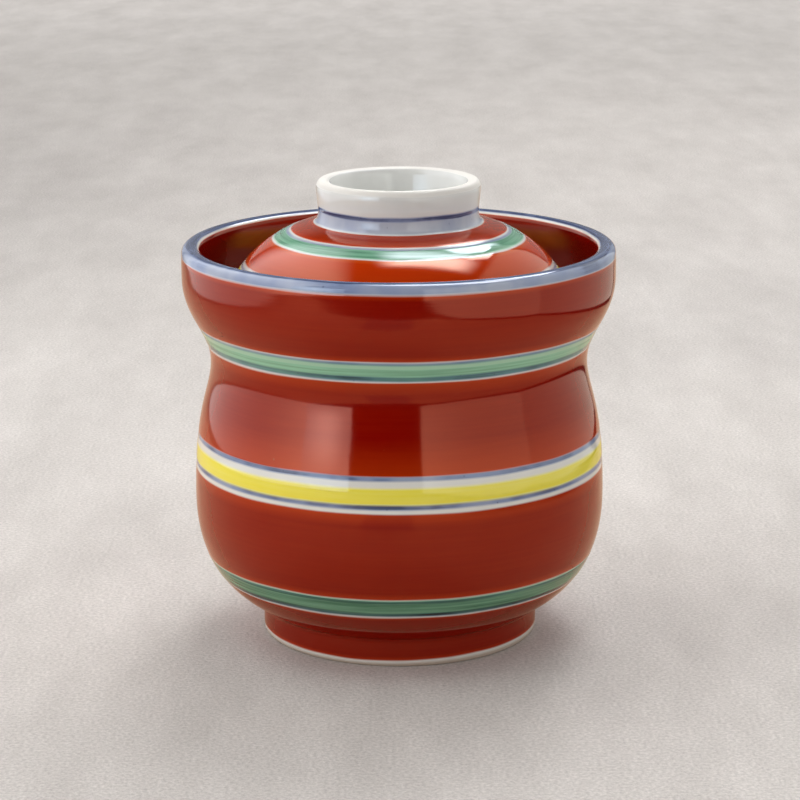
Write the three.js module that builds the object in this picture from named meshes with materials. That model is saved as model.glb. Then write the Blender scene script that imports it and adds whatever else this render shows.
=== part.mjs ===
// A lidded steaming cup in fired porcelain: a waisted cup on a turned foot ring, and a domed lid
// with a ring knob that drops into the cup's flared mouth and rests on the slope above the waist.
// Both pieces are made on a wheel, so each is one closed profile turned about the Z axis.
// Units are millimetres, +Z is up, and the foot ring stands on Z = 0.
import * as THREE from 'three';

// Foot ring, turned out of the cup's base
const FOOT_RADIUS = 26.7;
const FOOT_HEIGHT = 5.3;
const FOOT_RING_WIDTH = 3.4;
const FOOT_RECESS = 3.6;
const FOOT_EDGE_ROUND = 0.6;
const RECESS_CORNER_ROUND = 1.2;
const CREASE_ROUND = 0.8;

// Cup wall, measured stretch by stretch from the foot up to the lip
const BELLY_RADIUS = 39.6;
const MOUTH_RADIUS = 41.5;
const WAIST_INSET = 5.25; // how far the waist draws in from the mouth
const LOWER_BELLY_HEIGHT = 22.2;
const UPPER_BELLY_HEIGHT = 26.5;
const FLARE_HEIGHT = 16.4;
const RIM_BAND_HEIGHT = 6.1;
const LIP_CROWN = 1.5;
const WALL = 3.6;
const FLOOR = 4.6;
const UNDERSIDE_SLOPE = THREE.MathUtils.degToRad(35);

// Lid seat: the lid's round edge lies on the inside of the flare, this far above the waist
const SEAT_HEIGHT = 6.2;
const SEAT_CLEARANCE = 0.3;

// Lid dome and the ring knob on it
const LID_WALL = 3.2;
const DOME_HEIGHT = 19.4;
const DOME_TOP_SLOPE = THREE.MathUtils.degToRad(13.5);
const CROWN_RISE = 1.2; // what the hollow still rises from below the knob's skirt to the axis
const CROWN_THICKNESS = 3.8;
const KNOB_RADIUS = 15.7;
const KNOB_FLARE = 0.4;
const KNOB_WALL = 2.8;
const KNOB_HEIGHT = 8.2;
const KNOB_EDGE_ROUND = 0.8;
const KNOB_SKIRT_WIDTH = 1.1;
const KNOB_SKIRT_HEIGHT = 2.4;
const WELL_CORNER_ROUND = 1.5;

// Fullness of the curves: each handle as a share of the stretch that it shapes
const UNDERSIDE_FULLNESS = 0.37;
const BELLY_FULLNESS_BELOW = 0.7;
const BELLY_FULLNESS_ABOVE = 0.7;
const WAIST_FULLNESS_BELOW = 0.23;
const WAIST_FULLNESS_ABOVE = 0.38;
const MOUTH_FULLNESS = 0.44;
const BOWL_FLOOR_FULLNESS = 0.86;
const BOWL_SIDE_FULLNESS = 0.88;
const DOME_SIDE_FULLNESS = 0.11;
const DOME_TOP_FULLNESS = 0.92;
const HOLLOW_SIDE_FULLNESS = 0.57;
const HOLLOW_CROWN_FULLNESS = 0.65;
const SKIRT_FULLNESS = 0.6;

// Facets round each piece, and steps along the long and the short curves of a profile
const TURN_SEGMENTS = 56;
const LONG_STEPS = 8;
const LIP_STEPS = 6;
const ROUND_STEPS = 2;

// Glazed overglaze red, as fired
const RED_ENAMEL = 0x8c2a17;
const GLAZE_ROUGHNESS = 0.15;

// Heights and radii that follow from the sizes above
const bellyHeight = FOOT_HEIGHT + LOWER_BELLY_HEIGHT;
const waistHeight = bellyHeight + UPPER_BELLY_HEIGHT;
const flareTop = waistHeight + FLARE_HEIGHT;
const lipBase = flareTop + RIM_BAND_HEIGHT - LIP_CROWN;
const waistRadius = MOUTH_RADIUS - WAIST_INSET;
const footInnerRadius = FOOT_RADIUS - FOOT_RING_WIDTH;
const floorTop = FOOT_RECESS + FLOOR;

// A point of a profile: distance from the axis, and height
function at(radius, height) {
  return new THREE.Vector2(radius, height);
}

// A curve that leaves one point along its handle and comes into the other along that one's
function bend(from, fromHandle, toHandle, to) {
  return new THREE.CubicBezierCurve(from, from.clone().add(fromHandle), to.clone().add(toHandle), to);
}

// A quarter or half round, from one angle in degrees to another
function round(centre, halfWidth, halfHeight, fromAngle, toAngle, steps) {
  const start = THREE.MathUtils.degToRad(fromAngle);
  const end = THREE.MathUtils.degToRad(toAngle);
  const arc = new THREE.EllipseCurve(centre.x, centre.y, halfWidth, halfHeight, start, end, toAngle < fromAngle);
  return arc.getPoints(steps);
}

// One fired piece, turned from its profile; points that two stretches share are kept once
function turned(name, profile) {
  const points = profile.filter((point, i) => i === 0 || point.distanceTo(profile[i - 1]) > 1e-6);
  const geometry = new THREE.LatheGeometry(points, TURN_SEGMENTS);
  geometry.rotateX(Math.PI / 2);
  const glaze = new THREE.MeshStandardMaterial({
    color: RED_ENAMEL,
    roughness: GLAZE_ROUGHNESS,
    metalness: 0,
  });
  const piece = new THREE.Mesh(geometry, glaze);
  piece.name = name;
  return piece;
}

// The wall from the belly in to the waist, set in from the outside by an amount
function upperBelly(inset) {
  return bend(
    at(BELLY_RADIUS - inset, bellyHeight),
    at(0, BELLY_FULLNESS_ABOVE * UPPER_BELLY_HEIGHT),
    at(0, -WAIST_FULLNESS_BELOW * UPPER_BELLY_HEIGHT),
    at(waistRadius - inset, waistHeight),
  );
}

// The wall from the waist out to the upright band below the lip
function flare(inset) {
  return bend(
    at(waistRadius - inset, waistHeight),
    at(0, WAIST_FULLNESS_ABOVE * FLARE_HEIGHT),
    at(0, -MOUTH_FULLNESS * FLARE_HEIGHT),
    at(MOUTH_RADIUS - inset, flareTop),
  );
}

// The underside of the belly, from the crease over the foot ring
function lowerBelly() {
  const reach = UNDERSIDE_FULLNESS * (BELLY_RADIUS - FOOT_RADIUS);
  const along = at(Math.cos(UNDERSIDE_SLOPE), Math.sin(UNDERSIDE_SLOPE));
  return bend(
    at(FOOT_RADIUS, FOOT_HEIGHT).addScaledVector(along, CREASE_ROUND),
    along.clone().multiplyScalar(reach - CREASE_ROUND),
    at(0, -BELLY_FULLNESS_BELOW * LOWER_BELLY_HEIGHT),
    at(BELLY_RADIUS, bellyHeight),
  );
}

// The round bottom of the inside, from the belly down to the middle of the floor
function bowl() {
  const sideRadius = BELLY_RADIUS - WALL;
  return bend(
    at(sideRadius, bellyHeight),
    at(0, -BOWL_SIDE_FULLNESS * (bellyHeight - floorTop)),
    at(BOWL_FLOOR_FULLNESS * sideRadius, 0),
    at(0, floorTop),
  );
}

function makeCup() {
  const underside = lowerBelly();
  const crease = new THREE.QuadraticBezierCurve(
    at(FOOT_RADIUS, FOOT_HEIGHT - CREASE_ROUND),
    at(FOOT_RADIUS, FOOT_HEIGHT),
    underside.v0,
  );
  const recessCorner = at(footInnerRadius - RECESS_CORNER_ROUND, FOOT_RECESS - RECESS_CORNER_ROUND);
  const footInnerEdge = at(footInnerRadius + FOOT_EDGE_ROUND, FOOT_EDGE_ROUND);
  const footOuterEdge = at(FOOT_RADIUS - FOOT_EDGE_ROUND, FOOT_EDGE_ROUND);
  const lipCentre = at(MOUTH_RADIUS - WALL / 2, lipBase);
  return turned('cup', [
    at(0, FOOT_RECESS),
    ...round(recessCorner, RECESS_CORNER_ROUND, RECESS_CORNER_ROUND, 90, 0, ROUND_STEPS),
    ...round(footInnerEdge, FOOT_EDGE_ROUND, FOOT_EDGE_ROUND, 180, 270, ROUND_STEPS),
    ...round(footOuterEdge, FOOT_EDGE_ROUND, FOOT_EDGE_ROUND, 270, 360, ROUND_STEPS),
    ...crease.getPoints(ROUND_STEPS),
    ...underside.getPoints(LONG_STEPS),
    ...upperBelly(0).getPoints(LONG_STEPS),
    ...flare(0).getPoints(LONG_STEPS),
    ...round(lipCentre, WALL / 2, LIP_CROWN, 0, 180, LIP_STEPS),
    ...flare(WALL).getPoints(LONG_STEPS).reverse(),
    ...upperBelly(WALL).getPoints(LONG_STEPS).reverse(),
    ...bowl().getPoints(LONG_STEPS),
  ]);
}

// Where on a rising curve a height is reached, by halving
function shareAtHeight(curve, height) {
  let low = 0;
  let high = 1;
  for (let halving = 0; halving < 40; halving += 1) {
    const middle = (low + high) / 2;
    if (curve.getPoint(middle).y < height) low = middle;
    else high = middle;
  }
  return low;
}

// The middle of the lid's round edge when it rests on the flare with its clearance
function seatedEdgeCentre(edgeRound) {
  const slope = flare(WALL);
  const share = shareAtHeight(slope, waistHeight + SEAT_HEIGHT);
  const along = slope.getTangent(share);
  const awayFromWall = at(-along.y, along.x);
  return slope.getPoint(share).addScaledVector(awayFromWall, edgeRound + SEAT_CLEARANCE);
}

function makeLid() {
  const edgeRound = LID_WALL / 2;
  const seated = seatedEdgeCentre(edgeRound);
  const edgeCentre = at(seated.x, edgeRound);

  const neckRadius = KNOB_RADIUS - KNOB_FLARE;
  const skirtRadius = neckRadius + KNOB_SKIRT_WIDTH;
  const skirtFoot = edgeRound + DOME_HEIGHT;
  const knobTop = skirtFoot + KNOB_HEIGHT;
  const hollowTop = skirtFoot - LID_WALL + CROWN_RISE;
  const wellFloor = hollowTop + CROWN_THICKNESS;
  const wellRadius = KNOB_RADIUS - KNOB_WALL;

  const hollowRadius = edgeCentre.x - edgeRound;
  const hollow = bend(
    at(0, hollowTop),
    at(HOLLOW_CROWN_FULLNESS * hollowRadius, 0),
    at(0, HOLLOW_SIDE_FULLNESS * (hollowTop - edgeRound)),
    at(hollowRadius, edgeRound),
  );

  const domeRadius = edgeCentre.x + edgeRound;
  const downSlope = at(Math.cos(DOME_TOP_SLOPE), -Math.sin(DOME_TOP_SLOPE));
  const dome = bend(
    at(domeRadius, edgeRound),
    at(0, DOME_SIDE_FULLNESS * DOME_HEIGHT),
    downSlope.clone().multiplyScalar(DOME_TOP_FULLNESS * (domeRadius - skirtRadius)),
    at(skirtRadius, skirtFoot),
  );
  const skirt = bend(
    at(skirtRadius, skirtFoot),
    downSlope.clone().multiplyScalar(-SKIRT_FULLNESS * KNOB_SKIRT_WIDTH),
    at(0, -SKIRT_FULLNESS * KNOB_SKIRT_HEIGHT),
    at(neckRadius, skirtFoot + KNOB_SKIRT_HEIGHT),
  );

  const knobOuterEdge = at(KNOB_RADIUS - KNOB_EDGE_ROUND, knobTop - KNOB_EDGE_ROUND);
  const knobInnerEdge = at(wellRadius + KNOB_EDGE_ROUND, knobTop - KNOB_EDGE_ROUND);
  const wellCorner = at(wellRadius - WELL_CORNER_ROUND, wellFloor + WELL_CORNER_ROUND);
  const lid = turned('lid', [
    ...hollow.getPoints(LONG_STEPS),
    ...round(edgeCentre, edgeRound, edgeRound, 180, 360, LIP_STEPS),
    ...dome.getPoints(LONG_STEPS),
    ...skirt.getPoints(ROUND_STEPS),
    ...round(knobOuterEdge, KNOB_EDGE_ROUND, KNOB_EDGE_ROUND, 0, 90, ROUND_STEPS),
    ...round(knobInnerEdge, KNOB_EDGE_ROUND, KNOB_EDGE_ROUND, 90, 180, ROUND_STEPS),
    ...round(wellCorner, WELL_CORNER_ROUND, WELL_CORNER_ROUND, 360, 270, ROUND_STEPS),
    at(0, wellFloor),
  ]);
  lid.position.z = seated.y - edgeRound;
  return lid;
}

const steamingCup = new THREE.Group();
steamingCup.add(makeCup(), makeLid());

export default steamingCup;
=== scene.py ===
import math
from typing import NamedTuple

import bpy
import numpy as np
from mathutils import Matrix


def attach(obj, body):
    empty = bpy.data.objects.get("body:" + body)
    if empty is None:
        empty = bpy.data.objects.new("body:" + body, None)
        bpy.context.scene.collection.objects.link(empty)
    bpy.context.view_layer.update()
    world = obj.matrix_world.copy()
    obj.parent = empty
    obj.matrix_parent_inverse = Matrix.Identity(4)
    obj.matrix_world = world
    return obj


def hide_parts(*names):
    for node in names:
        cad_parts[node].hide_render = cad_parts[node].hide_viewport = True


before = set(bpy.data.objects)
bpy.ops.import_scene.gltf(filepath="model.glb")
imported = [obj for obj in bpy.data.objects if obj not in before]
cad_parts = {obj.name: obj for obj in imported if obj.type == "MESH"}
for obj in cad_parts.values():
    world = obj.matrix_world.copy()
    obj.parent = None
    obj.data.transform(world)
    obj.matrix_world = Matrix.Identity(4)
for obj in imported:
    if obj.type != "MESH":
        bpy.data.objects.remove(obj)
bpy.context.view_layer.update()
scene = bpy.context.scene

# The camera
# A long lens at table height, looking a little down on the cup from half a metre away.

LENS_MM = 122.0
SENSOR_MM = 36.0
CAMERA_PLACE = (0.00017, -0.51037, 0.17213)
CAMERA_PITCH = math.radians(90.0 - 13.96)
CAMERA_ROLL = math.radians(-0.19)

camera_data = bpy.data.cameras.new("camera")
camera_data.lens = LENS_MM
camera_data.sensor_width = SENSOR_MM
camera_data.clip_start = 0.01
camera = bpy.data.objects.new("camera", camera_data)
camera.matrix_world = (
    Matrix.Translation(CAMERA_PLACE)
    @ Matrix.Rotation(CAMERA_PITCH, 4, "X")
    @ Matrix.Rotation(CAMERA_ROLL, 4, "Z")
)
scene.collection.objects.link(camera)
scene.camera = camera
scene.view_settings.view_transform = "Standard"

# The cup
# One piece of porcelain, thrown to a waisted form and turned at the foot, white glazed all over
# but for the foot's edge. Cobalt lines lie under the glaze; red, green and yellow enamels are
# banded over it while the cup spins on a wheel, so every line runs right round with a slight wander.

MM = 0.001

FOOT_RADIUS = 26.7
FOOT_HEIGHT = 5.3
FOOT_RING_WIDTH = 3.4
FOOT_RECESS = 3.6
FOOT_EDGE_ROUND = 0.6
RECESS_CORNER_ROUND = 1.2
CREASE_ROUND = 0.8
BELLY_RADIUS = 39.6
WAIST_RADIUS = 36.25
MOUTH_RADIUS = 41.5
BELLY_HEIGHT = 27.5
WAIST_HEIGHT = 54.0
FLARE_TOP = 70.4
LIP_BASE = 75.0
LIP_CROWN = 1.5
CUP_WALL = 3.6
FLOOR_TOP = 8.2
UNDERSIDE_SLOPE = math.radians(35.0)

# How far each curve runs on along its handle at its start and end, as a share of its height or width
UNDERSIDE_HANDLES = (0.37, 0.7)
UPPER_BELLY_HANDLES = (0.7, 0.23)
FLARE_HANDLES = (0.38, 0.44)
BOWL_HANDLES = (0.88, 0.86)


def bend(start, start_handle, end_handle, end, steps=120):
    """A smooth curve in the profile's plane, leaving each end along its handle."""
    t = np.linspace(0.0, 1.0, steps)[:, None]
    first = np.add(start, start_handle)
    last = np.add(end, end_handle)
    return (
        (1 - t) ** 3 * np.array(start)
        + 3 * (1 - t) ** 2 * t * first
        + 3 * (1 - t) * t**2 * last
        + t**3 * np.array(end)
    )


def round_off(centre, half_width, half_height, from_angle, to_angle, steps=40):
    """A quarter or half round of the profile, between two angles in degrees."""
    angle = np.radians(np.linspace(from_angle, to_angle, steps))
    across = centre[0] + half_width * np.cos(angle)
    up = centre[1] + half_height * np.sin(angle)
    return np.column_stack([across, up])


def upper_belly(inset):
    """The wall from the belly up to the waist, outside or set in by the wall's thickness."""
    leave, arrive = UPPER_BELLY_HANDLES
    return bend(
        (BELLY_RADIUS - inset, BELLY_HEIGHT),
        (0.0, leave * (WAIST_HEIGHT - BELLY_HEIGHT)),
        (0.0, -arrive * (WAIST_HEIGHT - BELLY_HEIGHT)),
        (WAIST_RADIUS - inset, WAIST_HEIGHT),
    )


def flare(inset):
    """The wall from the waist out to the mouth, outside or set in by the wall's thickness."""
    leave, arrive = FLARE_HANDLES
    return bend(
        (WAIST_RADIUS - inset, WAIST_HEIGHT),
        (0.0, leave * (FLARE_TOP - WAIST_HEIGHT)),
        (0.0, -arrive * (FLARE_TOP - WAIST_HEIGHT)),
        (MOUTH_RADIUS - inset, FLARE_TOP),
    )


def cup_stretches():
    """The cup's profile in four stretches: below the foot, outside, the lip and inside."""
    foot_inner = FOOT_RADIUS - FOOT_RING_WIDTH
    recess_corner = (foot_inner - RECESS_CORNER_ROUND, FOOT_RECESS - RECESS_CORNER_ROUND)
    inner_edge = (foot_inner + FOOT_EDGE_ROUND, FOOT_EDGE_ROUND)
    outer_edge = (FOOT_RADIUS - FOOT_EDGE_ROUND, FOOT_EDGE_ROUND)
    below = np.vstack([
        [[0.0, FOOT_RECESS]],
        round_off(recess_corner, RECESS_CORNER_ROUND, RECESS_CORNER_ROUND, 90, 0),
        round_off(inner_edge, FOOT_EDGE_ROUND, FOOT_EDGE_ROUND, 180, 270),
        round_off(outer_edge, FOOT_EDGE_ROUND, FOOT_EDGE_ROUND, 270, 360),
    ])
    along = np.array([math.cos(UNDERSIDE_SLOPE), math.sin(UNDERSIDE_SLOPE)])
    under_start = np.array([FOOT_RADIUS, FOOT_HEIGHT]) + CREASE_ROUND * along
    reach = UNDERSIDE_HANDLES[0] * (BELLY_RADIUS - FOOT_RADIUS) - CREASE_ROUND
    rise = UNDERSIDE_HANDLES[1] * (BELLY_HEIGHT - FOOT_HEIGHT)
    crease_start = np.array([FOOT_RADIUS, FOOT_HEIGHT - CREASE_ROUND])
    two_thirds = 2.0 * CREASE_ROUND / 3.0
    outside = np.vstack([
        bend(crease_start, (0.0, two_thirds), -two_thirds * along, under_start, 30),
        bend(under_start, reach * along, (0.0, -rise), (BELLY_RADIUS, BELLY_HEIGHT)),
        upper_belly(0.0),
        flare(0.0),
    ])
    lip_centre = (MOUTH_RADIUS - CUP_WALL / 2, LIP_BASE)
    lip = round_off(lip_centre, CUP_WALL / 2, LIP_CROWN, 0, 180, 60)
    side = BELLY_RADIUS - CUP_WALL
    bowl = bend(
        (side, BELLY_HEIGHT),
        (0.0, -BOWL_HANDLES[0] * (BELLY_HEIGHT - FLOOR_TOP)),
        (BOWL_HANDLES[1] * side, 0.0),
        (0.0, FLOOR_TOP),
    )
    inside = np.vstack([flare(CUP_WALL)[::-1], upper_belly(CUP_WALL)[::-1], bowl])
    return below, outside, lip, inside


def joined(stretches):
    """One profile from its stretches, shared points kept once, and the way along it in millimetres."""
    points = np.vstack(stretches)
    steps = np.hypot(*np.diff(points, axis=0).T)
    points = points[np.concatenate([[True], steps > 1e-6])]
    steps = np.hypot(*np.diff(points, axis=0).T)
    return points, np.concatenate([[0.0], np.cumsum(steps)])


ROW_PITCH = 1.15
INSIDE_PITCH = 2.2
ROW_TURN = math.radians(6.5)
EDGE_ROW_GAP = 0.03
ROW_CLEARANCE = 0.3 * ROW_PITCH
LEAST_ROW_STEP = 0.02
SEGMENTS = 320
ENAMEL_LAYERS = ("cobalt", "red", "green", "yellow", "bare")
ENAMEL_HEIGHT = {"cobalt": 0.0, "red": 0.025, "green": 0.07, "yellow": 0.07, "bare": -0.03}
EDGE_SOFTNESS = {"cobalt": 0.42, "red": 0.36, "green": 0.4, "yellow": 0.6, "bare": 0.5}
THIN_RED = 0.8
BAND_GAP = 2.5
BAND_WANDER = (0.1, 0.05)
EDGE_WANDER = (0.025, 0.05)


class Stroke(NamedTuple):
    """A band of one layer between two places on the profile; red is thin for a way in from each edge."""

    layer: str
    start: float
    end: float
    strength: float = 1.0
    thin: tuple = (1.1, 1.1)


def paint_amounts(way, strokes):
    """How much of each layer lies at each point of the way; red thins out towards its edges."""
    amounts = {layer: np.zeros(len(way)) for layer in ENAMEL_LAYERS}
    for stroke in strokes:
        inward = np.minimum(way - stroke.start, stroke.end - way)
        cover = np.clip(inward / EDGE_SOFTNESS[stroke.layer] + 0.5, 0.0, 1.0)
        if stroke.layer == "red":
            depth = np.minimum((way - stroke.start) / stroke.thin[0], (stroke.end - way) / stroke.thin[1])
            cover = cover * (THIN_RED + (1.0 - THIN_RED) * np.clip(depth, 0.0, 1.0))
        amounts[stroke.layer] = np.maximum(amounts[stroke.layer], stroke.strength * cover)
    return amounts


def row_stations(points, way, strokes, painted_from, painted_to):
    """Where the mesh has its rows: closer on the painted wall, in tight bends and at edges of paint."""
    heading = np.unwrap(np.arctan2(*np.diff(points, axis=0).T[::-1]))
    turning = np.concatenate([[0.0], np.abs(np.diff(heading)), [0.0]])
    middle = (way > painted_from) & (way < painted_to)
    pitch = np.where(middle, ROW_PITCH, INSIDE_PITCH)
    share = np.concatenate([[0.0], np.diff(way) / pitch[1:]]) + turning / ROW_TURN
    share = np.cumsum(share)
    count = int(share[-1])
    even = np.interp(np.linspace(0.0, share[-1], count), share, way)
    edges = []
    for stroke in strokes:
        half = EDGE_SOFTNESS[stroke.layer] / 2
        edges += [stroke.start - half, stroke.start + half, stroke.end - half, stroke.end + half]
        if stroke.layer == "red":
            edges += [stroke.start + stroke.thin[0], stroke.end - stroke.thin[1]]
    edges = np.array(sorted(edges))
    edges = edges[np.concatenate([[True], np.diff(edges) > EDGE_ROW_GAP])]
    gap = np.abs(even[:, None] - edges[None, :]).min(axis=1)
    keep = gap > ROW_CLEARANCE
    keep[[0, -1]] = True
    return np.sort(np.concatenate([even[keep], edges]))


def wander(rng, angle, slow, quick):
    """How a hand-held brush strays from its line over one turn of the wheel, in millimetres."""
    drift = np.zeros_like(angle)
    for turns in (1, 2, 3):
        drift += slow / turns * np.sin(turns * angle + rng.uniform(0, 2 * math.pi))
    for turns in (5, 8, 11, 17):
        drift += quick / math.sqrt(turns) * np.sin(turns * angle + rng.uniform(0, 2 * math.pi))
    return drift


def wheel_faces(ring_count):
    """The faces of a turned mesh: a fan, rings of four-sided faces, and a fan that closes it."""
    columns = range(SEGMENTS)
    pairs = [(a, (a + 1) % SEGMENTS) for a in columns]
    top = 1 + ring_count * SEGMENTS
    faces = [(0, 1 + b, 1 + a) for a, b in pairs]
    for i in range(ring_count - 1):
        low, high = 1 + i * SEGMENTS, 1 + (i + 1) * SEGMENTS
        faces += [(low + a, low + b, high + b, high + a) for a, b in pairs]
    low = top - SEGMENTS
    return faces + [(low + a, low + b, top) for a, b in pairs]


def add_bake_map(mesh, ring_count, row_share):
    """A map for baking: once round across, and up by each row's share of the height."""
    corner_vertex = np.empty(len(mesh.loops), int)
    mesh.loops.foreach_get("vertex_index", corner_vertex)
    sides = np.empty(len(mesh.polygons), int)
    mesh.polygons.foreach_get("loop_total", sides)
    columns = np.arange(SEGMENTS)
    face_column = np.repeat(np.tile(columns, ring_count + 1), sides)
    corner_column = (corner_vertex - 1) % SEGMENTS
    wraps = (face_column == SEGMENTS - 1) & (corner_column == 0)
    across = np.where(wraps, 1.0, corner_column / SEGMENTS)
    poles = (corner_vertex == 0) | (corner_vertex == len(mesh.vertices) - 1)
    across = np.where(poles, (face_column + 0.5) / SEGMENTS, across)
    rings = 1 + np.repeat(np.arange(ring_count), SEGMENTS)
    vertex_row = np.concatenate([[0], rings, [ring_count + 1]])
    up = row_share[vertex_row[corner_vertex]]
    bake_map = mesh.uv_layers.new(name="OFBake")
    bake_map.data.foreach_set("uv", np.column_stack([across, up]).astype(np.float32).ravel())


def turn_on_wheel(name, points, way, strokes, painted, bake_shares, seed):
    """A closed turned piece with its paint: the mesh, its layers as attributes, and a bake map."""
    rng = np.random.default_rng(seed)
    rows = row_stations(points, way, strokes, *painted)
    angle = np.linspace(0.0, 2 * math.pi, SEGMENTS, endpoint=False)

    bands = sorted(strokes, key=lambda stroke: stroke.start)
    anchors, drifts = [painted[0]], [np.zeros(SEGMENTS)]
    band_drift, band_end = None, -10.0
    for stroke in bands:
        if stroke.start > band_end + BAND_GAP or band_drift is None:
            band_drift = wander(rng, angle, *BAND_WANDER)
        band_end = max(band_end, stroke.end) if stroke.layer != "red" else band_end
        for edge in (stroke.start, stroke.end):
            anchors.append(edge)
            drifts.append(band_drift + wander(rng, angle, *EDGE_WANDER))
    anchors.append(painted[1])
    drifts.append(np.zeros(SEGMENTS))
    order = np.argsort(anchors)
    anchors = np.array(anchors)[order]
    drifts = np.array(drifts)[order]
    stray = np.array([np.interp(rows, anchors, column, 0.0, 0.0) for column in drifts.T]).T
    least = LEAST_ROW_STEP * np.arange(len(rows))[:, None]
    along = np.maximum.accumulate(rows[:, None] + stray - least, axis=0) + least
    along[0], along[-1] = rows[0], rows[-1]

    amounts = paint_amounts(rows, strokes)
    build_up = sum(ENAMEL_HEIGHT[layer] * amounts[layer] for layer in ENAMEL_LAYERS)
    tangent = np.gradient(points, way, axis=0)
    tangent /= np.linalg.norm(tangent, axis=1)[:, None]
    radius = np.interp(along, way, points[:, 0])
    height = np.interp(along, way, points[:, 1])
    radius += build_up[:, None] * np.interp(along, way, tangent[:, 1])
    height -= build_up[:, None] * np.interp(along, way, tangent[:, 0])

    ring = slice(1, len(rows) - 1)
    ring_points = np.stack([radius * np.cos(angle), radius * np.sin(angle), height], axis=-1)[ring]
    first = [[0.0, 0.0, height[0, 0]]]
    last = [[0.0, 0.0, height[-1, 0]]]
    vertices = np.vstack([first, ring_points.reshape(-1, 3), last]) * MM

    ring_count = len(rows) - 2
    mesh = bpy.data.meshes.new(name)
    mesh.from_pydata(vertices.tolist(), [], wheel_faces(ring_count))
    mesh.polygons.foreach_set("use_smooth", [True] * len(mesh.polygons))
    red_faces = amounts["red"][:-1] + amounts["red"][1:] > 1.0
    mesh.polygons.foreach_set("material_index", np.repeat(red_faces, SEGMENTS).astype(int))

    def spread(per_row):
        return np.concatenate([per_row[:1], np.repeat(per_row[ring], SEGMENTS), per_row[-1:]])

    for layer in ENAMEL_LAYERS:
        attribute = mesh.attributes.new(layer, "FLOAT", "POINT")
        attribute.data.foreach_set("value", spread(amounts[layer]).astype(np.float32))
    widest = points[:, 0].max()
    brush_way = np.stack([
        np.broadcast_to(widest * np.cos(angle), along.shape),
        np.broadcast_to(widest * np.sin(angle), along.shape),
        along,
    ], axis=-1)
    brush_way = np.vstack([[[0.0, 0.0, rows[0]]], brush_way[ring].reshape(-1, 3), [[0.0, 0.0, rows[-1]]]])
    attribute = mesh.attributes.new("brush_way", "FLOAT_VECTOR", "POINT")
    attribute.data.foreach_set("vector", brush_way.astype(np.float32).ravel())

    add_bake_map(mesh, ring_count, np.interp(rows, *bake_shares))
    mesh.validate()
    piece = bpy.data.objects.new(name, mesh)
    scene.collection.objects.link(piece)
    return piece


def shader_group(name, inputs, outputs):
    """An empty shader group with its named sockets, and its two end nodes."""
    group = bpy.data.node_groups.new(name, "ShaderNodeTree")
    for socket, kind in inputs:
        group.interface.new_socket(socket, in_out="INPUT", socket_type=kind)
    for socket, kind in outputs:
        group.interface.new_socket(socket, in_out="OUTPUT", socket_type=kind)
    return group, group.nodes.new("NodeGroupInput"), group.nodes.new("NodeGroupOutput")


def wire(tree, kind, settings=None, **sockets):
    """A node with its settings; a socket takes a value, or another node's socket as a link."""
    node = tree.nodes.new(kind)
    for key, value in (settings or {}).items():
        setattr(node, key, value)
    for key, value in sockets.items():
        socket = node.inputs[int(key[1:])] if key[1:].isdigit() else node.inputs[key]
        if isinstance(value, bpy.types.NodeSocket):
            tree.links.new(value, socket)
        else:
            socket.default_value = value
    return node


def math_node(tree, operation, a, b, clamp=False):
    settings = {"operation": operation, "use_clamp": clamp}
    return wire(tree, "ShaderNodeMath", settings, i0=a, i1=b).outputs[0]


def mix_colour(tree, factor, under, over, blend="MIX"):
    settings = {"data_type": "RGBA", "blend_type": blend}
    return wire(tree, "ShaderNodeMix", settings, i0=factor, i6=under, i7=over).outputs[2]


def ramp(tree, value, old_range, new_range, shape="LINEAR"):
    """A value carried from one range to another, and held at the ends."""
    settings = {"clamp": True, "interpolation_type": shape}
    ends = {"i1": old_range[0], "i2": old_range[1], "i3": new_range[0], "i4": new_range[1]}
    return wire(tree, "ShaderNodeMapRange", settings, Value=value, **ends).outputs[0]


# Streaks that the banding brush leaves along its way, long round the wheel and fine across
streaks, s_in, s_out = shader_group(
    "Wheel streaks",
    [("Way", "NodeSocketVector"), ("Across", "NodeSocketFloat"), ("Round", "NodeSocketFloat")],
    [("Streak", "NodeSocketFloat")],
)
NOISE_MIDDLE = (0.3, 0.7)
round_scale, across_scale = s_in.outputs["Round"], s_in.outputs["Across"]
stretch = wire(streaks, "ShaderNodeCombineXYZ", X=round_scale, Y=round_scale, Z=across_scale).outputs[0]
stretched = wire(
    streaks, "ShaderNodeVectorMath", {"operation": "MULTIPLY"}, i0=s_in.outputs["Way"], i1=stretch
).outputs[0]
streak_noise = wire(
    streaks, "ShaderNodeTexNoise", Vector=stretched, Scale=1.0, Detail=4.0, Roughness=0.62
).outputs[0]
streaks.links.new(ramp(streaks, streak_noise, NOISE_MIDDLE, (0.0, 1.0)), s_out.inputs["Streak"])

# A coat of enamel over what lies below: thin at its edges and in the streaks, full between them
coat, c_in, c_out = shader_group(
    "Enamel coat",
    [
        ("Under", "NodeSocketColor"), ("Thin", "NodeSocketColor"), ("Full", "NodeSocketColor"),
        ("Cover", "NodeSocketFloat"), ("Streak", "NodeSocketFloat"), ("Unevenness", "NodeSocketFloat"),
        ("Glassiness", "NodeSocketFloat"),
    ],
    [("Colour", "NodeSocketColor")],
)
THIN_COVER = 0.75
COVERING_POWER = 1.25
short_of_full = math_node(coat, "SUBTRACT", c_in.outputs["Streak"], 1.0)
uneven = math_node(coat, "MULTIPLY", short_of_full, c_in.outputs["Unevenness"])
edge_depth = ramp(coat, c_in.outputs["Cover"], (THIN_COVER, 1.0), (0.0, 1.0))
depth = math_node(coat, "ADD", edge_depth, uneven, clamp=True)
enamel = mix_colour(coat, depth, c_in.outputs["Thin"], c_in.outputs["Full"])
glassy = mix_colour(coat, 1.0, c_in.outputs["Under"], enamel, "MULTIPLY")
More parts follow.
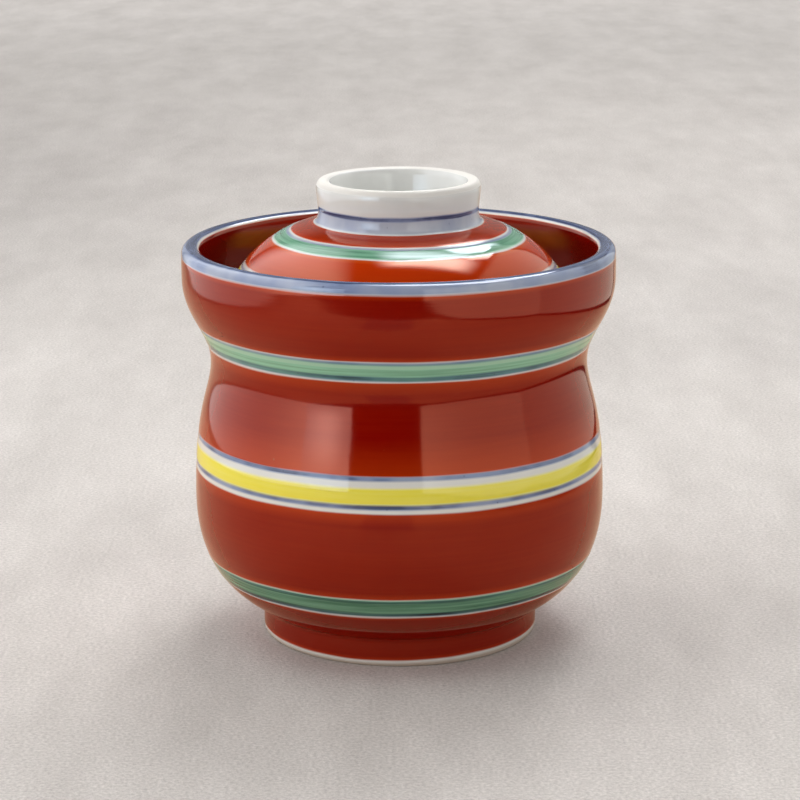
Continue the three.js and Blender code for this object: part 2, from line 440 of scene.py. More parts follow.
over = mix_colour(coat, c_in.outputs["Glassiness"], enamel, glassy)
covering = math_node(coat, "MULTIPLY", c_in.outputs["Cover"], COVERING_POWER, clamp=True)
coated = mix_colour(coat, covering, c_in.outputs["Under"], over)
coat.links.new(coated, c_out.inputs["Colour"])

# Pinholes: a few spots, under half a millimetre, where a bubble broke through the enamel in firing
pinholes, p_in, p_out = shader_group(
    "Pinholes", [("Way", "NodeSocketVector"), ("Apart", "NodeSocketFloat")], [("Hole", "NodeSocketFloat")]
)
HOLE_EDGE_MM = (0.12, 0.3)
EMPTY_CELLS = 0.55
apart = p_in.outputs["Apart"]
per_mm = math_node(pinholes, "DIVIDE", 1.0, apart)
cells = wire(
    pinholes, "ShaderNodeTexVoronoi", {"feature": "F1"}, Vector=p_in.outputs["Way"], Scale=per_mm
)
distance_mm = math_node(pinholes, "MULTIPLY", cells.outputs["Distance"], apart)
hole = ramp(pinholes, distance_mm, HOLE_EDGE_MM, (1.0, 0.0), "SMOOTHSTEP")
chance = wire(pinholes, "ShaderNodeSeparateColor", Color=cells.outputs["Color"]).outputs[0]
chosen = math_node(pinholes, "GREATER_THAN", chance, EMPTY_CELLS)
pinholes.links.new(math_node(pinholes, "MULTIPLY", hole, chosen), p_out.inputs["Hole"])

# Fired skin: glossy glaze with a faint ripple, and dry bare clay
skin, k_in, k_out = shader_group(
    "Fired skin",
    [
        ("Way", "NodeSocketVector"), ("Bare", "NodeSocketFloat"), ("Streak", "NodeSocketFloat"),
        ("Enamel", "NodeSocketFloat"),
    ],
    [("Roughness", "NodeSocketFloat"), ("Height", "NodeSocketFloat")],
)
GLAZE_ROUGHNESS = 0.05
RIPPLE_ROUGHNESS = 0.03
STREAK_ROUGHNESS = 0.04
CLAY_ROUGHNESS = 0.62
STREAK_RELIEF = 0.18
GRAIN_RELIEF = 0.8
RIPPLE_RELIEF = 0.3
bare_here, brushed = k_in.outputs["Bare"], k_in.outputs["Streak"]
ripple = wire(skin, "ShaderNodeTexNoise", Vector=k_in.outputs["Way"], Scale=0.35, Detail=2.0).outputs[0]
grain = wire(skin, "ShaderNodeTexNoise", Vector=k_in.outputs["Way"], Scale=6.0, Detail=4.0).outputs[0]
streak_rough = math_node(skin, "MULTIPLY", brushed, STREAK_ROUGHNESS)
enamel_rough = math_node(skin, "MULTIPLY", k_in.outputs["Enamel"], streak_rough)
ripple_rough = math_node(skin, "MULTIPLY", ripple, RIPPLE_ROUGHNESS)
glaze_rough = math_node(skin, "ADD", ripple_rough, GLAZE_ROUGHNESS)
gloss = math_node(skin, "ADD", glaze_rough, enamel_rough)
roughness = wire(skin, "ShaderNodeMix", {"data_type": "FLOAT"}, i0=bare_here, i2=gloss, i3=CLAY_ROUGHNESS)
skin.links.new(roughness.outputs[0], k_out.inputs["Roughness"])
brushed_enamel = math_node(skin, "MULTIPLY", brushed, k_in.outputs["Enamel"])
bare_grain = math_node(skin, "MULTIPLY", grain, bare_here)
relief = math_node(skin, "MULTIPLY", brushed_enamel, STREAK_RELIEF)
relief = math_node(skin, "ADD", relief, math_node(skin, "MULTIPLY", bare_grain, GRAIN_RELIEF))
relief = math_node(skin, "ADD", relief, math_node(skin, "MULTIPLY", ripple, RIPPLE_RELIEF))
skin.links.new(relief, k_out.inputs["Height"])

COBALT_THIN = (0.22, 0.275, 0.43, 1.0)
COBALT_FULL = (0.034, 0.048, 0.115, 1.0)
COBALT_SPECK = (0.05, 0.06, 0.11, 1.0)
COBALT_LOADING = (0.84, 1.34)
GREEN_THIN = (0.40, 0.82, 0.58, 1.0)
GREEN_FULL = (0.04, 0.185, 0.105, 1.0)
YELLOW_THIN = (0.90, 0.82, 0.22, 1.0)
YELLOW_FULL = (0.88, 0.76, 0.05, 1.0)
# Red laid above full strength is darkened by this tint as painted shade, and that red is also a little
# rougher.
RED_SHADE_TINT = (0.35, 0.3, 0.3, 1.0)
SHADED_RED_ROUGHNESS = 0.12
PINHOLE_RED = (0.34, 0.075, 0.04, 1.0)
SPECKS_APART = 2.2
SPECK_STRENGTH = 0.6
PINHOLES_APART = 8.0
BROAD_SHARE = 0.45
GLAZE_IOR = 1.6
RELIEF_STRENGTH = 0.25
RELIEF_DISTANCE = 0.00006
RED_GLOSS = (1.0, 0.88, 0.58, 1.0)


def fired_porcelain(name, glaze_thick, glaze_thin, red_full, red_thin, red_lustre, bare_clay):
    """White glazed porcelain with its painted layers, each laid over the last as they are fired."""
    material = bpy.data.materials.new(name)
    material.use_nodes = True
    tree = material.node_tree
    shader = tree.nodes["Principled BSDF"]
    way = wire(tree, "ShaderNodeAttribute", {"attribute_name": "brush_way"}).outputs["Vector"]
    layer = {}
    for key in ENAMEL_LAYERS:
        layer[key] = wire(tree, "ShaderNodeAttribute", {"attribute_name": key}).outputs["Fac"]

    def place(group, **sockets):
        return wire(tree, "ShaderNodeGroup", {"node_tree": group}, **sockets).outputs

    fine = place(streaks, Way=way, Across=1.7, Round=0.035)["Streak"]
    broad = place(streaks, Way=way, Across=0.35, Round=0.05)["Streak"]
    streak = mix_colour(tree, BROAD_SHARE, fine, broad)
    cloud = wire(tree, "ShaderNodeTexNoise", Vector=way, Scale=0.12, Detail=2.0).outputs[0]
    glaze = mix_colour(tree, cloud, glaze_thick, glaze_thin)
    loading = wire(tree, "ShaderNodeTexNoise", Vector=way, Scale=0.07, Detail=3.0).outputs[0]
    loaded = ramp(tree, loading, (0.35, 0.65), COBALT_LOADING)
    wash = math_node(tree, "MULTIPLY", layer["cobalt"], loaded, clamp=True)
    colour = place(
        coat, Under=glaze, Thin=COBALT_THIN, Full=COBALT_FULL, Cover=wash,
        Streak=fine, Unevenness=0.6, Glassiness=0.1,
    )["Colour"]
    speck = place(pinholes, Way=way, Apart=SPECKS_APART)["Hole"]
    speck = math_node(tree, "MULTIPLY", speck, layer["cobalt"])
    colour = mix_colour(tree, math_node(tree, "MULTIPLY", speck, SPECK_STRENGTH), colour, COBALT_SPECK)
    colour = place(
        coat, Under=colour, Thin=GREEN_THIN, Full=GREEN_FULL, Cover=layer["green"],
        Streak=fine, Unevenness=0.6, Glassiness=1.0,
    )["Colour"]
    colour = place(
        coat, Under=colour, Thin=YELLOW_THIN, Full=YELLOW_FULL, Cover=layer["yellow"],
        Streak=streak, Unevenness=0.5, Glassiness=0.3,
    )["Colour"]
    colour = place(
        coat, Under=colour, Thin=red_thin, Full=red_full, Cover=layer["red"],
        Streak=streak, Unevenness=0.2, Glassiness=0.0,
    )["Colour"]
    # Painted shade: where red is laid above full strength, inside the cup's mouth and on the lid round
    # the knob, its colour is darkened by the shade tint.
    painted_shade = math_node(tree, "SUBTRACT", layer["red"], 1.0, clamp=True)
    colour = mix_colour(tree, painted_shade, colour, RED_SHADE_TINT, "MULTIPLY")
    hole = place(pinholes, Way=way, Apart=PINHOLES_APART)["Hole"]
    hole = math_node(tree, "MULTIPLY", hole, layer["red"])
    colour = mix_colour(tree, hole, colour, PINHOLE_RED)
    colour = mix_colour(tree, layer["bare"], colour, bare_clay)
    tree.links.new(colour, shader.inputs["Base Color"])
    fired = place(skin, Way=way, Bare=layer["bare"], Streak=streak, Enamel=layer["red"])
    shaded_red_dulls = math_node(tree, "MULTIPLY", painted_shade, SHADED_RED_ROUGHNESS)
    tree.links.new(math_node(tree, "ADD", fired["Roughness"], shaded_red_dulls), shader.inputs["Roughness"])
    tree.links.new(math_node(tree, "MULTIPLY", layer["red"], red_lustre), shader.inputs["Metallic"])
    shader.inputs["IOR"].default_value = GLAZE_IOR
    bump = wire(
        tree, "ShaderNodeBump", Strength=RELIEF_STRENGTH, Distance=RELIEF_DISTANCE, Height=fired["Height"]
    )
    tree.links.new(bump.outputs[0], shader.inputs["Normal"])
    return material


def under_red(porcelain, name):
    """The same porcelain where iron red covers it, which gives warm reflections."""
    enamel = porcelain.copy()
    enamel.name = name
    enamel.node_tree.nodes["Principled BSDF"].inputs["Specular Tint"].default_value = RED_GLOSS
    return enamel


below, outside, lip, inside = cup_stretches()
cup_points, cup_way = joined([below, outside, lip, inside])
outside_start = joined([below])[1][-1]
outside_points, outside_way = joined([below[-1:], outside, lip[:1]])
lip_start = outside_start + outside_way[-1]
lip_end = lip_start + joined([lip])[1][-1]
inside_points, inside_way = joined([lip[-1:], inside])


def on_outside(height):
    """The way along the profile to a height on the cup's outside."""
    return outside_start + float(np.interp(height, outside_points[:, 1], outside_way))


def on_inside(height):
    """The way along the profile to a height on the cup's inside."""
    return lip_end + float(np.interp(-height, -inside_points[:, 1], inside_way))


# Each band of the outside by the heights of its edges in millimetres, with how strongly it is laid
CUP_BANDS = [
    Stroke("red", 1.4, 12.68, thin=(0.8, 0.8)),
    Stroke("red", 16.84, 33.65, thin=(1.5, 2.4)),
    Stroke("red", 40.55, 57.46, thin=(6.5, 2.5)),
    Stroke("red", 61.83, 74.45, thin=(1.4, 1.0)),
    Stroke("cobalt", 12.98, 13.8, 0.8),
    Stroke("cobalt", 16.0, 16.6, 0.5),
    Stroke("green", 13.1, 16.72),
    Stroke("cobalt", 34.46, 35.48, 0.85),
    Stroke("cobalt", 39.65, 40.6, 0.8),
    Stroke("yellow", 35.35, 38.37),
    Stroke("cobalt", 57.78, 58.8, 0.68),
    Stroke("cobalt", 61.1, 61.65, 0.62),
    Stroke("green", 57.9, 60.4, 0.86),
    Stroke("green", 60.2, 61.4, 0.66),
]
cup_strokes = [
    band._replace(start=on_outside(band.start), end=on_outside(band.end)) for band in CUP_BANDS
]
lip_length = lip_end - lip_start
# The red inside the mouth is laid above full strength so that it comes out darker: painted shade inside
# the mouth, lighter just below the lip.
RED_WITH_MOUTH_SHADE = 1.6
BARE_FOOT_WAY = 5.6
BARE_FOOT_HEIGHT = 0.9
INSIDE_RED_FOOT = 58.0
cup_strokes += [
    Stroke("bare", outside_start - BARE_FOOT_WAY, on_outside(BARE_FOOT_HEIGHT)),
    Stroke("cobalt", lip_start - 0.45, lip_start + 0.42 * lip_length, 0.7),
    Stroke("cobalt", lip_start + 0.31 * lip_length, lip_start + 0.74 * lip_length),
    Stroke("red", lip_start + 0.855 * lip_length, on_inside(INSIDE_RED_FOOT), RED_WITH_MOUTH_SHADE, (2.5, 1.1)),
]
cup_bake = (
    [0.0, outside_start - 6.0, outside_start, lip_end + 8.0, cup_way[-1]],
    [0.01, 0.05, 0.09, 0.86, 0.99],
)
# The bare clay at the foot is darker and browner than the bare crest of the lid: painted shade under the
# foot's edge.
FOOT_CLAY_IN_SHADE = (0.47, 0.39, 0.32, 1.0)
CUP_SEED = 11
cup_painted = (outside_start - 6.0, on_inside(55.0))
cup = turn_on_wheel("cup_porcelain", cup_points, cup_way, cup_strokes, cup_painted, cup_bake, CUP_SEED)
cup_glaze = fired_porcelain(
    "cup_banded_porcelain",
    glaze_thick=(0.66, 0.65, 0.605, 1.0),
    glaze_thin=(0.72, 0.71, 0.665, 1.0),
    red_full=(0.245, 0.0006, 0.0002, 1.0),
    red_thin=(0.43, 0.03, 0.002, 1.0),
    red_lustre=0.2,
    bare_clay=FOOT_CLAY_IN_SHADE,
)
cup.data.materials.append(cup_glaze)
cup.data.materials.append(under_red(cup_glaze, "cup_iron_red"))
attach(cup, "cup")
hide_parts("cup")

# The lid
# A domed porcelain lid thrown upside down and turned, with a ring knob that it also stands on in
# the kiln, so the knob's crest is bare. It drops into the mouth and rests on the flare by its round edge.

LID_WALL = 3.2
LID_EDGE_RADIUS = 32.713
LID_EDGE_HEIGHT = 61.072
DOME_HEIGHT = 19.4
DOME_TOP_SLOPE = math.radians(13.5)
HOLLOW_TOP = 78.472
KNOB_RADIUS = 15.7
KNOB_NECK_RADIUS = 15.3
KNOB_WALL = 2.8
KNOB_TOP = 88.672
KNOB_SKIRT_WIDTH = 1.1
KNOB_SKIRT_HEIGHT = 2.4
WELL_FLOOR = 82.272
WELL_CORNER_ROUND = 1.5
WELL_NARROWING = 1.0
CREST_OUTER_WIDTH = 1.0
CREST_OUTER_DROP = 1.8
CREST_INNER_WIDTH = 1.5
CREST_INNER_DROP = 0.9
HOLLOW_HANDLES = (0.65, 0.57)
DOME_HANDLES = (0.11, 0.92)
SKIRT_HANDLES = (0.6, 0.6)

edge_round = LID_WALL / 2
skirt_foot = LID_EDGE_HEIGHT + DOME_HEIGHT
skirt_radius = KNOB_NECK_RADIUS + KNOB_SKIRT_WIDTH
hollow_radius = LID_EDGE_RADIUS - edge_round
dome_radius = LID_EDGE_RADIUS + edge_round
well_radius = KNOB_RADIUS - KNOB_WALL
down_slope = np.array([math.cos(DOME_TOP_SLOPE), -math.sin(DOME_TOP_SLOPE)])
hollow = bend(
    (0.0, HOLLOW_TOP),
    (HOLLOW_HANDLES[0] * hollow_radius, 0.0),
    (0.0, HOLLOW_HANDLES[1] * (HOLLOW_TOP - LID_EDGE_HEIGHT)),
    (hollow_radius, LID_EDGE_HEIGHT),
)
lid_edge = round_off((LID_EDGE_RADIUS, LID_EDGE_HEIGHT), edge_round, edge_round, 180, 360, 60)
dome = bend(
    (dome_radius, LID_EDGE_HEIGHT),
    (0.0, DOME_HANDLES[0] * DOME_HEIGHT),
    DOME_HANDLES[1] * (dome_radius - skirt_radius) * down_slope,
    (skirt_radius, skirt_foot),
    240,
)
skirt = bend(
    (skirt_radius, skirt_foot),
    -SKIRT_HANDLES[0] * KNOB_SKIRT_WIDTH * down_slope,
    (0.0, -SKIRT_HANDLES[1] * KNOB_SKIRT_HEIGHT),
    (KNOB_NECK_RADIUS, skirt_foot + KNOB_SKIRT_HEIGHT),
    60,
)
outer_centre = (KNOB_RADIUS - CREST_OUTER_WIDTH, KNOB_TOP - CREST_OUTER_DROP)
knob_outer = round_off(outer_centre, CREST_OUTER_WIDTH, CREST_OUTER_DROP, 0, 90)
inner_centre = (well_radius + CREST_INNER_WIDTH, KNOB_TOP - CREST_INNER_DROP)
knob_inner = round_off(inner_centre, CREST_INNER_WIDTH, CREST_INNER_DROP, 90, 172)
well_corner = (well_radius - WELL_NARROWING - WELL_CORNER_ROUND, WELL_FLOOR + WELL_CORNER_ROUND)
well = round_off(well_corner, WELL_CORNER_ROUND, WELL_CORNER_ROUND, 351, 270)
well_middle = [[0.0, WELL_FLOOR]]
lid_points, lid_way = joined([hollow, lid_edge, dome, skirt, knob_outer, knob_inner, well, well_middle])
dome_start = joined([hollow, lid_edge])[1][-1]
dome_way = dome_start + joined([dome])[1]
knob_start = dome_way[-1]
knob_points, knob_way = joined([skirt, knob_outer])
knob_end = knob_start + knob_way[-1]


def on_dome(radius):
    """The way along the profile to a distance from the axis on the dome."""
    return float(np.interp(-radius, -dome[:, 0], dome_way))


def on_knob(height):
    """The way along the profile to a height on the knob's outside."""
    return knob_start + float(np.interp(height, knob_points[:, 1], knob_way))


# The lid's bands from the yellow one up, by distance from the axis on the dome and by height on the knob
YELLOW_WIDTH = 3.4
YELLOW_LINE_WIDTH = 0.7
# Red round the foot of the knob is laid above full strength, which darkens it: the knob's shadow on the
# dome, painted all round.
RED_WITH_KNOB_SHADOW = 1.4
yellow_end = on_dome(30.25)
yellow_start = yellow_end - YELLOW_WIDTH
lid_strokes = [
    Stroke("cobalt", yellow_start - YELLOW_LINE_WIDTH, yellow_start, 0.7),
    Stroke("yellow", yellow_start, yellow_end),
    Stroke("cobalt", on_dome(30.1), on_dome(29.75), 0.6),
    Stroke("red", on_dome(29.3), on_dome(24.2)),
    Stroke("green", on_dome(23.8), on_dome(21.5), 0.94),
    Stroke("cobalt", on_dome(21.6), on_dome(20.95), 0.6),
    Stroke("red", on_dome(20.55), knob_start + 0.1, RED_WITH_KNOB_SHADOW),
    # Painted shade: a thin cobalt wash over the knob's wall, from the skirt up to its dark line, greys
    # the white glaze where that wall is in shade.
    Stroke("cobalt", knob_start + 0.5, on_knob(83.0), 0.5),
    Stroke("cobalt", on_knob(81.2), on_knob(81.5), 0.45),
    Stroke("cobalt", on_knob(82.9), on_knob(83.7)),
    Stroke("bare", on_knob(87.6), knob_end + 1.5),
]
lid_bake = (
    [0.0, dome_start - 6.0, dome_start, knob_end + 3.5, lid_way[-1]],
    [0.01, 0.10, 0.16, 0.90, 0.99],
)
CREST_CLAY = (0.71, 0.69, 0.645, 1.0)
LID_SEED = 23
lid_painted = (dome_start, knob_end + 4.0)
lid = turn_on_wheel("lid_porcelain", lid_points, lid_way, lid_strokes, lid_painted, lid_bake, LID_SEED)
lid_glaze = fired_porcelain(
    "lid_banded_porcelain",
    glaze_thick=(0.65, 0.655, 0.635, 1.0),
    glaze_thin=(0.71, 0.715, 0.695, 1.0),
    red_full=(0.48, 0.03, 0.001, 1.0),
    red_thin=(0.56, 0.08, 0.01, 1.0),
    red_lustre=0.05,
    bare_clay=CREST_CLAY,
)
lid.data.materials.append(lid_glaze)
lid.data.materials.append(under_red(lid_glaze, "lid_iron_red"))
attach(lid, "lid")
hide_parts("lid")

# The floor
# A plain pale plaster board, flat and matt, with a faint mottle from the trowel.

FLOOR_HALF_WIDTH = 0.8
FLOOR_FRONT = -0.9
FLOOR_BACK = 2.4
TROWEL_STRETCH = (1.0, 0.35, 1.0)
PLASTER_DARK = (0.46, 0.433, 0.412, 1.0)
PLASTER_PALE = (0.575, 0.545, 0.522, 1.0)
GRIT_SHADES = (0.78, 1.22)
PLASTER_ROUGHNESS = 0.85
FLOOR_IN_GLOSS = (0.95, 0.72, 0.52, 1.0)


def flat_sheet(name, corners, material):
    """A flat four-cornered sheet that belongs to the studio and not to the cup."""
    mesh = bpy.data.meshes.new(name)
    mesh.from_pydata(corners, [], [(0, 1, 2, 3)])
    mesh.materials.append(material)
    sheet = bpy.data.objects.new(name, mesh)
    scene.collection.objects.link(sheet)
    return sheet


plaster = bpy.data.materials.new("pale_plaster")
plaster.use_nodes = True
plaster_tree = plaster.node_tree
plaster_place = wire(plaster_tree, "ShaderNodeTexCoord").outputs["Object"]
trowelled = wire(
    plaster_tree, "ShaderNodeVectorMath", {"operation": "MULTIPLY"}, i0=plaster_place, i1=TROWEL_STRETCH
).outputs[0]
blotch = wire(
    plaster_tree, "ShaderNodeTexNoise", Vector=trowelled, Scale=42.0, Detail=6.0, Roughness=0.66
).outputs[0]
sand = wire(
    plaster_tree, "ShaderNodeTexNoise", Vector=plaster_place, Scale=1400.0, Detail=3.0, Roughness=0.7
).outputs[0]
mottle = ramp(plaster_tree, blotch, NOISE_MIDDLE, (0.0, 1.0))
plaster_colour = mix_colour(plaster_tree, mottle, PLASTER_DARK, PLASTER_PALE)
grit = ramp(plaster_tree, sand, NOISE_MIDDLE, GRIT_SHADES)
plaster_colour = mix_colour(plaster_tree, 1.0, plaster_colour, grit, "MULTIPLY")
floor_in_gloss = wire(plaster_tree, "ShaderNodeLightPath").outputs["Is Glossy Ray"]
plaster_colour = mix_colour(plaster_tree, floor_in_gloss, plaster_colour, FLOOR_IN_GLOSS, "MULTIPLY")
plaster_shader = plaster_tree.nodes["Principled BSDF"]
plaster_tree.links.new(plaster_colour, plaster_shader.inputs["Base Color"])
plaster_shader.inputs["Roughness"].default_value = PLASTER_ROUGHNESS
plaster_relief = wire(plaster_tree, "ShaderNodeBump", Strength=0.5, Distance=0.0004, Height=sand)
plaster_tree.links.new(plaster_relief.outputs[0], plaster_shader.inputs["Normal"])
flat_sheet(
    "floor",
    [
        (-FLOOR_HALF_WIDTH, FLOOR_FRONT, 0.0),
        (FLOOR_HALF_WIDTH, FLOOR_FRONT, 0.0),
        (FLOOR_HALF_WIDTH, FLOOR_BACK, 0.0),
        (-FLOOR_HALF_WIDTH, FLOOR_BACK, 0.0),
    ],
    plaster,
)

# The light
# Soft studio light: a wide soft box above and behind to the right, a tall lit screen on the left with
# its lamp's glow at the front, a low white card folded round the right, and a dark gap in front.
# Some sheets only light matt things and some only show in the gloss; lamps over the floor keep it pale.

ROOM_WHITE = (1.0, 0.985, 0.97, 1.0)
SCREEN_IN_GLOSS = (1.0, 1.03, 1.09, 1.0)
LAMP_IN_GLOSS = (0.93, 1.15, 1.38, 1.0)
CARD_IN_GLOSS = (1.0, 1.0, 0.92, 1.0)
KEY_IN_GLOSS = (1.0, 1.05, 1.18, 1.0)


def glow(name, low, high, soft, rise=(0.0, 1.0), spot=None, in_gloss=ROOM_WHITE, fill=1.0):
    """The glow of a lit sheet, from low at its foot to high at its top over the rise.

    It fades at its soft edges, in the order near, far, foot and top, and may have a lamp's spot: a place,
    a reach and the extra strength. In the gloss it has its own colour and full strength, and fill is the
    share that lights matt things.
    """
    material = bpy.data.materials.new(name)
    material.use_nodes = True
    tree = material.node_tree
    tree.nodes.remove(tree.nodes["Principled BSDF"])
    place = wire(tree, "ShaderNodeTexCoord")
    across_up = wire(tree, "ShaderNodeSeparateXYZ", Vector=place.outputs["UV"])
    across, up = across_up.outputs[0], across_up.outputs[1]
    strength = ramp(tree, up, rise, (low, high), "SMOOTHSTEP")
    if spot:
        spot_place, reach, extra = spot
        here = place.outputs["Object"]
        off = wire(tree, "ShaderNodeVectorMath", {"operation": "DISTANCE"}, i0=here, i1=spot_place)
        lamp_glow = ramp(tree, off.outputs["Value"], (0.0, reach), (extra, 0.0), "SMOOTHSTEP")
        strength = math_node(tree, "ADD", strength, lamp_glow)
    far_across = math_node(tree, "SUBTRACT", 1.0, across)
    down = math_node(tree, "SUBTRACT", 1.0, up)
    for side, fade in zip((across, far_across, up, down), soft):
        if fade:
            shade = ramp(tree, side, (0.0, fade), (0.0, 1.0), "SMOOTHSTEP")
            strength = math_node(tree, "MULTIPLY", strength, shade)
    glossy = wire(tree, "ShaderNodeLightPath").outputs["Is Glossy Ray"]
    share = wire(tree, "ShaderNodeMix", {"data_type": "FLOAT"}, i0=glossy, i2=fill, i3=1.0)
    strength = math_node(tree, "MULTIPLY", strength, share.outputs[0])
    colour = mix_colour(tree, glossy, ROOM_WHITE, in_gloss)
    emission = wire(tree, "ShaderNodeEmission", Color=colour, Strength=strength)
    tree.links.new(emission.outputs[0], tree.nodes["Material Output"].inputs["Surface"])
    return material


def lit_sheet(name, corners, matt=True, gloss=True, **shine):
    """A sheet that lights matt things, shows in the gloss or both, and that the camera never sees."""
    sheet = flat_sheet(name, corners, glow(name, **shine))
    edge_map = sheet.data.uv_layers.new(name="edges")
    edge_map.data.foreach_set("uv", [0.0, 0.0, 1.0, 0.0, 1.0, 1.0, 0.0, 1.0])
    sheet.visible_camera = False
    sheet.visible_shadow = False
    sheet.visible_diffuse = matt
    sheet.visible_glossy = gloss


def standing(near, far, foot, top):
    """The corners of a sheet on edge between two places on the floor."""
    return [(*near, foot), (*far, foot), (*far, top), (*near, top)]


GAP_LEFT = (-0.262, -0.514)
SCREEN_BEND = (-0.344, -0.254)
SCREEN_BACK = (-0.200, 0.400)
SCREEN_FOOT = 0.008
SCREEN_TOP = 0.95
SCREEN_FAR_TOP = (-0.160, 0.55, SCREEN_TOP)
FRONT_SCREEN_TOP = 0.42
CARD_NEAR = (0.078, -0.370)
CARD_FOLD = (0.210, -0.070)
CARD_BACK = (0.128, 0.200)
CARD_FOOT = 0.004
CARD_TOP = 0.37
CARD_BACK_TOP = 0.27
LAMP_SPOT = (-0.312, -0.351, 0.148)
CARD_SPOT = (*CARD_NEAR, 0.15)
FAR_HALF_WIDTH = 1.0
FAR_BACK = 1.2
FAR_TOP = 0.9
FAR_GLOW = (-0.62, FAR_BACK, 0.05)
KEY_STRENGTH_IN_GLOSS = 9.5

lit_sheet(
    "key_soft_box",
    [(-0.046, 0.87, 0.47), (0.364, 0.78, 0.47), (0.304, 0.19, 0.84), (-0.106, 0.28, 0.84)],
    gloss=False, low=5.4, high=7.8, rise=(0.1, 0.7), soft=(0.22, 0.22, 0.12, 0.22),
)
lit_sheet(
    "overhead_gloss",
    [(-0.12, 0.46, 0.77), (0.44, 0.46, 0.77), (0.44, 0.04, 0.77), (-0.12, 0.04, 0.77)],
    matt=False, low=KEY_STRENGTH_IN_GLOSS, high=KEY_STRENGTH_IN_GLOSS,
    soft=(0.25, 0.35, 0.55, 0.26), in_gloss=KEY_IN_GLOSS,
)
lit_sheet(
    "back_gloss",
    [(0.252, 0.692, 0.50), (0.511, 0.53, 0.50), (0.362, 0.326, 0.77), (0.118, 0.472, 0.77)],
    matt=False, low=KEY_STRENGTH_IN_GLOSS, high=KEY_STRENGTH_IN_GLOSS,
    soft=(0.3, 0.3, 0.45, 0.0), in_gloss=KEY_IN_GLOSS,
)
lit_sheet(
    "far_wall",
    standing((-FAR_HALF_WIDTH, FAR_BACK), (FAR_HALF_WIDTH, FAR_BACK), 0.0, FAR_TOP),
    matt=False, low=0.26, high=0.3, rise=(0.1, 0.6), soft=(0.2, 0.2, 0.0, 0.5),
    spot=(FAR_GLOW, 0.55, 0.4),
)
lit_sheet(
    "left_screen",
    [
        (*SCREEN_BEND, SCREEN_FOOT),
        (*SCREEN_BACK, SCREEN_FOOT),
        SCREEN_FAR_TOP,
        (*SCREEN_BEND, SCREEN_TOP),
    ],
    low=1.15, high=2.3, rise=(0.11, 0.4), soft=(0.0, 0.25, 0.0, 0.5), spot=(LAMP_SPOT, 0.36, 1.5),
    in_gloss=SCREEN_IN_GLOSS, fill=1.1,
)
lit_sheet(
    "front_left_screen",
    standing(GAP_LEFT, SCREEN_BEND, SCREEN_FOOT, FRONT_SCREEN_TOP),
    low=1.9, high=1.9, soft=(0.0, 0.0, 0.0, 0.3), spot=(LAMP_SPOT, 0.16, 2.0),
    in_gloss=LAMP_IN_GLOSS, fill=0.85,
)
lit_sheet(
    "right_front_card",
    standing(CARD_NEAR, CARD_FOLD, CARD_FOOT, CARD_TOP),
    low=0.96, high=1.1, rise=(0.2, 0.8), soft=(0.0, 0.0, 0.0, 0.1), spot=(CARD_SPOT, 0.25, 0.45),
    in_gloss=CARD_IN_GLOSS, fill=0.98,
)
lit_sheet(
    "right_back_card",
    [
        (*CARD_FOLD, CARD_FOOT),
        (*CARD_BACK, CARD_FOOT),
        (*CARD_BACK, CARD_BACK_TOP),
        (*CARD_FOLD, CARD_TOP),
    ],
    low=0.7, high=1.0, rise=(0.15, 0.6), soft=(0.0, 0.0, 0.0, 0.1), in_gloss=CARD_IN_GLOSS, fill=0.98,
)


def matt_grey_material(name, shade):
    """A matt material of one grey, for the dark sheets on the floor and at the card."""
    material = bpy.data.materials.new(name)
    material.use_nodes = True
    shader = material.node_tree.nodes["Principled BSDF"]
    shader.inputs["Base Color"].default_value = (shade, shade, shade, 1.0)
    shader.inputs["Roughness"].default_value = 1.0
    return material


black = matt_grey_material("black_cloth_and_painted_shadow", 0.004)
grey = matt_grey_material("grey_painted_shade", 0.2)


def dark_sheet(name, corners, material=black):
    """A dark sheet that only shows as a shape in the gloss."""
    sheet = flat_sheet(name, corners, material)
    sheet.visible_camera = False
    sheet.visible_diffuse = False
    sheet.visible_shadow = False


CLOTH_HALF_WIDTH = 0.6
CLOTH_EDGE = -0.305
CLOTH_LIFT = 0.001
FOOT_SHADOW_TOP = 0.009
CARD_INWARD = 0.002
EDGE_SHADE_STRIP = (-0.003, 0.01)


def inside_card(place):
    """A place at the card's foot, moved just inside the card."""
    return place[0] - CARD_INWARD, place[1]


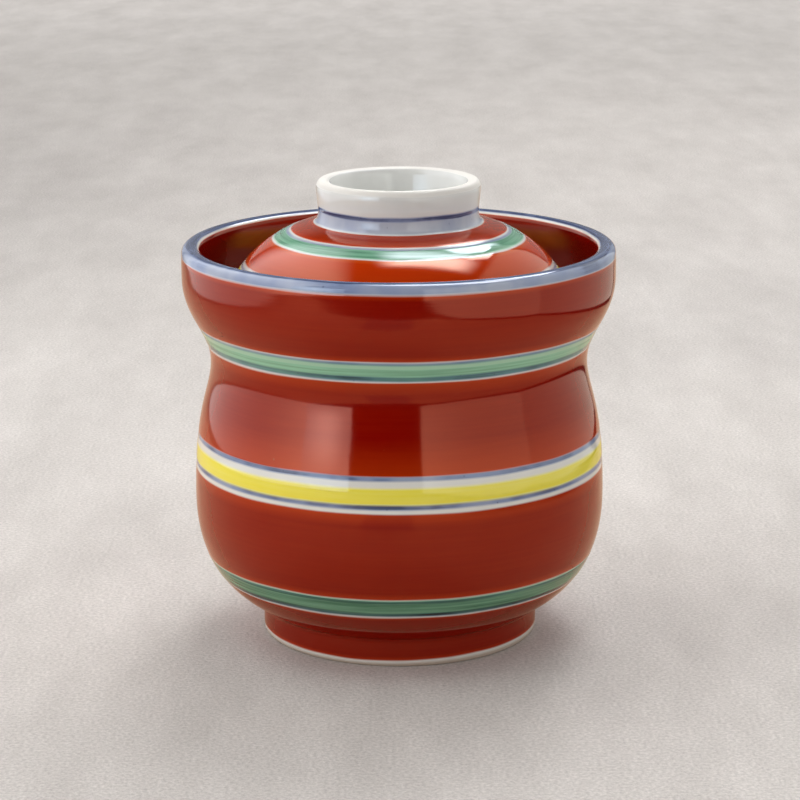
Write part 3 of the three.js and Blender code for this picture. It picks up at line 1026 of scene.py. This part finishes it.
dark_sheet(
    "front_cloth",
    [
        (-CLOTH_HALF_WIDTH, FLOOR_FRONT, CLOTH_LIFT),
        (CLOTH_HALF_WIDTH, FLOOR_FRONT, CLOTH_LIFT),
        (CLOTH_HALF_WIDTH, CLOTH_EDGE, CLOTH_LIFT),
        (-CLOTH_HALF_WIDTH, CLOTH_EDGE, CLOTH_LIFT),
    ],
)
# Painted shade: a grey sheet on the floor in the gap, seen only in the gloss, darkens the floor's
# reflection low on the belly.
dark_sheet(
    "gap_floor_shade",
    [
        (-0.08, -0.31, CLOTH_LIFT),
        (0.034, -0.31, CLOTH_LIFT),
        (0.018, -0.16, CLOTH_LIFT),
        (-0.053, -0.153, CLOTH_LIFT),
    ],
    grey,
)
near_foot = inside_card(CARD_NEAR)
fold_foot = inside_card(CARD_FOLD)
back_foot = inside_card(CARD_BACK)
edge_end = (back_foot[0] + EDGE_SHADE_STRIP[0], back_foot[1] + EDGE_SHADE_STRIP[1])
# Painted shadow: thin black strips at the right card's foot and along its back edge, seen only in the
# gloss, stand for the card's contact shadow and the shade at its edge.
dark_sheet("right_front_foot_shadow", standing(near_foot, fold_foot, CLOTH_LIFT, FOOT_SHADOW_TOP))
dark_sheet("right_back_foot_shadow", standing(fold_foot, back_foot, CLOTH_LIFT, FOOT_SHADOW_TOP))
dark_sheet("right_back_edge_shade", standing(back_foot, edge_end, CLOTH_LIFT, CARD_BACK_TOP))


def hung_fill(name, place, width, depth, energy, spread=180.0):
    """A wide soft lamp facing down, out of sight of the camera and the gloss; spread is in degrees."""
    light = bpy.data.lights.new(name, "AREA")
    light.shape = "RECTANGLE"
    light.size = width
    light.size_y = depth
    light.energy = energy
    light.spread = math.radians(spread)
    lamp = bpy.data.objects.new(name, light)
    lamp.location = place
    lamp.visible_camera = False
    lamp.visible_glossy = False
    scene.collection.objects.link(lamp)


hung_fill("back_fill", (0.0, 1.75, 0.9), width=3.0, depth=1.2, energy=33.0)
hung_fill("front_fill", (0.0, -0.5, 1.0), width=1.0, depth=1.0, energy=1.7)
hung_fill("viewer_fill", (0.0, -0.85, 0.6), width=2.4, depth=0.7, energy=9.0, spread=80.0)
hung_fill("left_fill", (-0.68, -0.2, 0.5), width=0.3, depth=0.7, energy=1.1, spread=56.0)

UNLIT_ROOM = (0.012, 0.009, 0.006, 1.0)
SEEN_ROOM = (0.62, 0.6, 0.58, 1.0)
world = bpy.data.worlds.new("studio")
scene.world = world
world.use_nodes = True
world_tree = world.node_tree
background = world_tree.nodes["Background"]
seen = wire(world_tree, "ShaderNodeLightPath").outputs["Is Camera Ray"]
world_tree.links.new(mix_colour(world_tree, seen, UNLIT_ROOM, SEEN_ROOM), background.inputs["Color"])
